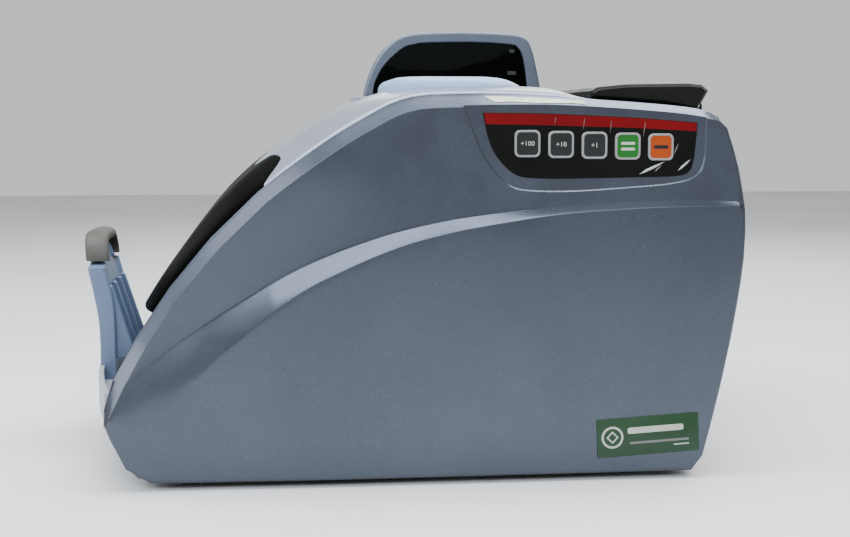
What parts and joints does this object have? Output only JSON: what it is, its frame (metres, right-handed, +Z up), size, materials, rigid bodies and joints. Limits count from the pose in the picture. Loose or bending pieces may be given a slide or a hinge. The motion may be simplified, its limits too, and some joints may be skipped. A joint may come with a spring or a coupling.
{
  "type": "banknote counting machine",
  "caption": "Tabletop banknote counter: arched body, top hopper with flap, folding display, side keys and an open stacker pocket with a leaning plate.",
  "frame": {"origin": "centre of the bounding box in X and Y, on the floor under the feet", "axes": "+X towards the hopper end, -X towards the stacker pocket, -Y out of the side that carries the keys, +Z up"},
  "size_m": [0.3878, 0.28, 0.2645],
  "materials": {
    "body_blue": "metallic blue-grey lacquer on moulded plastic",
    "silver": "silver lacquer on moulded plastic",
    "pale_blue": "pale blue satin plastic",
    "light_grey": "satin moulding",
    "gloss_black": "polished black",
    "black_plastic": "fine texture",
    "steel": "zinc-plated sheet and ground rod",
    "black_rubber": "matt rubber",
    "red_rubber": "ground rubber tyre",
    "beige_rubber": "soft beige-grey rubber",
    "circuit_green": "solder mask",
    "label_green": "printed label",
    "dark_key": "soft key top",
    "green_key": "soft key top",
    "orange_key": "soft key top"
  },
  "bodies": {
    "machine": {"near_side_cover": "body_blue", "far_side_cover": "body_blue", "key_overlay": "gloss_black", "label_plate": "label_green", "key_board": "circuit_green", "access_pin_near": "steel", "access_pin_far": "steel", "display_hinge_pin": "steel", "top_cover": "silver", "display_plinth": "pale_blue", "power_inlet": "black_plastic", "rear_cover": "body_blue", "base_pan": "black_plastic", "foot_1": "black_rubber", "foot_2": "black_rubber", "foot_3": "black_rubber", "foot_4": "black_rubber", "front_lower_cover": "body_blue", "stacker_tray": "light_grey", "stacker_plate": "pale_blue", "stacker_plate_lip": "beige_rubber", "pocket_wall": "light_grey", "near_frame_plate": "steel", "far_frame_plate": "steel", "hopper_floor": "black_plastic", "flap_hinge_rod": "steel", "main_motor": "steel", "drive_belt": "black_rubber", "stacker_belt": "black_rubber", "note_path_guide": "steel", "retard_bracket": "steel", "retard_roller": "black_rubber", "main_board": "circuit_green", "power_supply": "steel"},
    "display": {"display_housing": "body_blue", "display_window": "gloss_black"},
    "access_cover": {"front_access_cover": "gloss_black"},
    "flap": {"hopper_flap": "black_plastic"},
    "near_guide": {"note_guide_near": "black_plastic"},
    "far_guide": {"note_guide_far": "black_plastic"},
    "drum": {"drum_shaft": "steel", "drum_roller_near": "red_rubber", "drum_roller_far": "red_rubber", "drum_pulley": "black_plastic"},
    "feed": {"feed_shaft": "steel", "feed_roller_near": "red_rubber", "feed_roller_far": "red_rubber", "feed_pulley": "black_plastic"},
    "stacker": {"stacker_shaft": "steel", "stacker_wheel_near": "black_rubber", "stacker_wheel_far": "black_rubber", "stacker_pulley": "black_plastic"},
    "motor_rotor": {"motor_pulley": "steel"},
    "gap_knob": {"gap_adjust_knob": "black_plastic"},
    "rocker": {"power_switch": "black_plastic"},
    "key_1_cap": {"key_1": "dark_key"},
    "key_2_cap": {"key_2": "dark_key"},
    "key_3_cap": {"key_3": "dark_key"},
    "key_4_cap": {"key_4": "green_key"},
    "key_5_cap": {"key_5": "orange_key"}
  },
  "joints": [
    {"name": "display_tilt", "type": "hinge", "parent": "machine", "child": "display", "pos_m": [0.0429, 0.009, 0.216], "axis": [-1, 0, 0], "range_deg": [0, 88]},
    {"name": "access_cover_hinge", "type": "hinge", "parent": "machine", "child": "access_cover", "pos_m": [-0.1331, 0, 0.104], "axis": [0, -1, 0], "range_deg": [0, 45]},
    {"name": "flap_hinge", "type": "hinge", "parent": "machine", "child": "flap", "pos_m": [0.1759, 0, 0.216], "axis": [0, 1, 0], "range_deg": [0, 115]},
    {"name": "near_guide_slide", "type": "slide", "parent": "machine", "child": "near_guide", "axis": [0, 1, 0], "range_m": [0, 0.027]},
    {"name": "far_guide_slide", "type": "slide", "parent": "machine", "child": "far_guide", "axis": [0, 1, 0], "range_m": [-0.027, 0]},
    {"name": "drum_spin", "type": "hinge", "parent": "machine", "child": "drum", "pos_m": [0.0749, 0, 0.124], "axis": [0, 1, 0], "continuous": true},
    {"name": "feed_spin", "type": "hinge", "parent": "machine", "child": "feed", "pos_m": [0.1389, 0, 0.1575], "axis": [0, 1, 0], "continuous": true},
    {"name": "stacker_spin", "type": "hinge", "parent": "machine", "child": "stacker", "pos_m": [-0.0851, 0, 0.082], "axis": [0, 1, 0], "continuous": true},
    {"name": "motor_spin", "type": "hinge", "parent": "machine", "child": "motor_rotor", "pos_m": [0.0329, 0, 0.054], "axis": [0, 1, 0], "continuous": true},
    {"name": "gap_knob_turn", "type": "hinge", "parent": "machine", "child": "gap_knob", "pos_m": [0.0849, 0, 0.18], "axis": [0, 0, 1], "range_deg": [-180, 180]},
    {"name": "power_rocker", "type": "hinge", "parent": "machine", "child": "rocker", "pos_m": [0.17587, -0.05, 0.04572], "axis": [0, -1, 0], "range_deg": [0, 12]},
    {"name": "key_1_press", "type": "slide", "parent": "machine", "child": "key_1_cap", "axis": [0, 1, 0], "range_m": [0, 0.001], "stiffness_N_per_m": 600, "springref_m": -0.0008},
    {"name": "key_2_press", "type": "slide", "parent": "machine", "child": "key_2_cap", "axis": [0, 1, 0], "range_m": [0, 0.001], "stiffness_N_per_m": 600, "springref_m": -0.0008},
    {"name": "key_3_press", "type": "slide", "parent": "machine", "child": "key_3_cap", "axis": [0, 1, 0], "range_m": [0, 0.001], "stiffness_N_per_m": 600, "springref_m": -0.0008},
    {"name": "key_4_press", "type": "slide", "parent": "machine", "child": "key_4_cap", "axis": [0, 1, 0], "range_m": [0, 0.001], "stiffness_N_per_m": 600, "springref_m": -0.0008},
    {"name": "key_5_press", "type": "slide", "parent": "machine", "child": "key_5_cap", "axis": [0, 1, 0], "range_m": [0, 0.001], "stiffness_N_per_m": 600, "springref_m": -0.0008}
  ],
  "couplings": [
    {"joint": "far_guide_slide", "follows": "near_guide_slide", "ratio": -1},
    {"joint": "feed_spin", "follows": "drum_spin", "ratio": 1.5},
    {"joint": "motor_spin", "follows": "drum_spin", "ratio": 1.5},
    {"joint": "stacker_spin", "follows": "drum_spin", "ratio": 0.75}
  ]
}
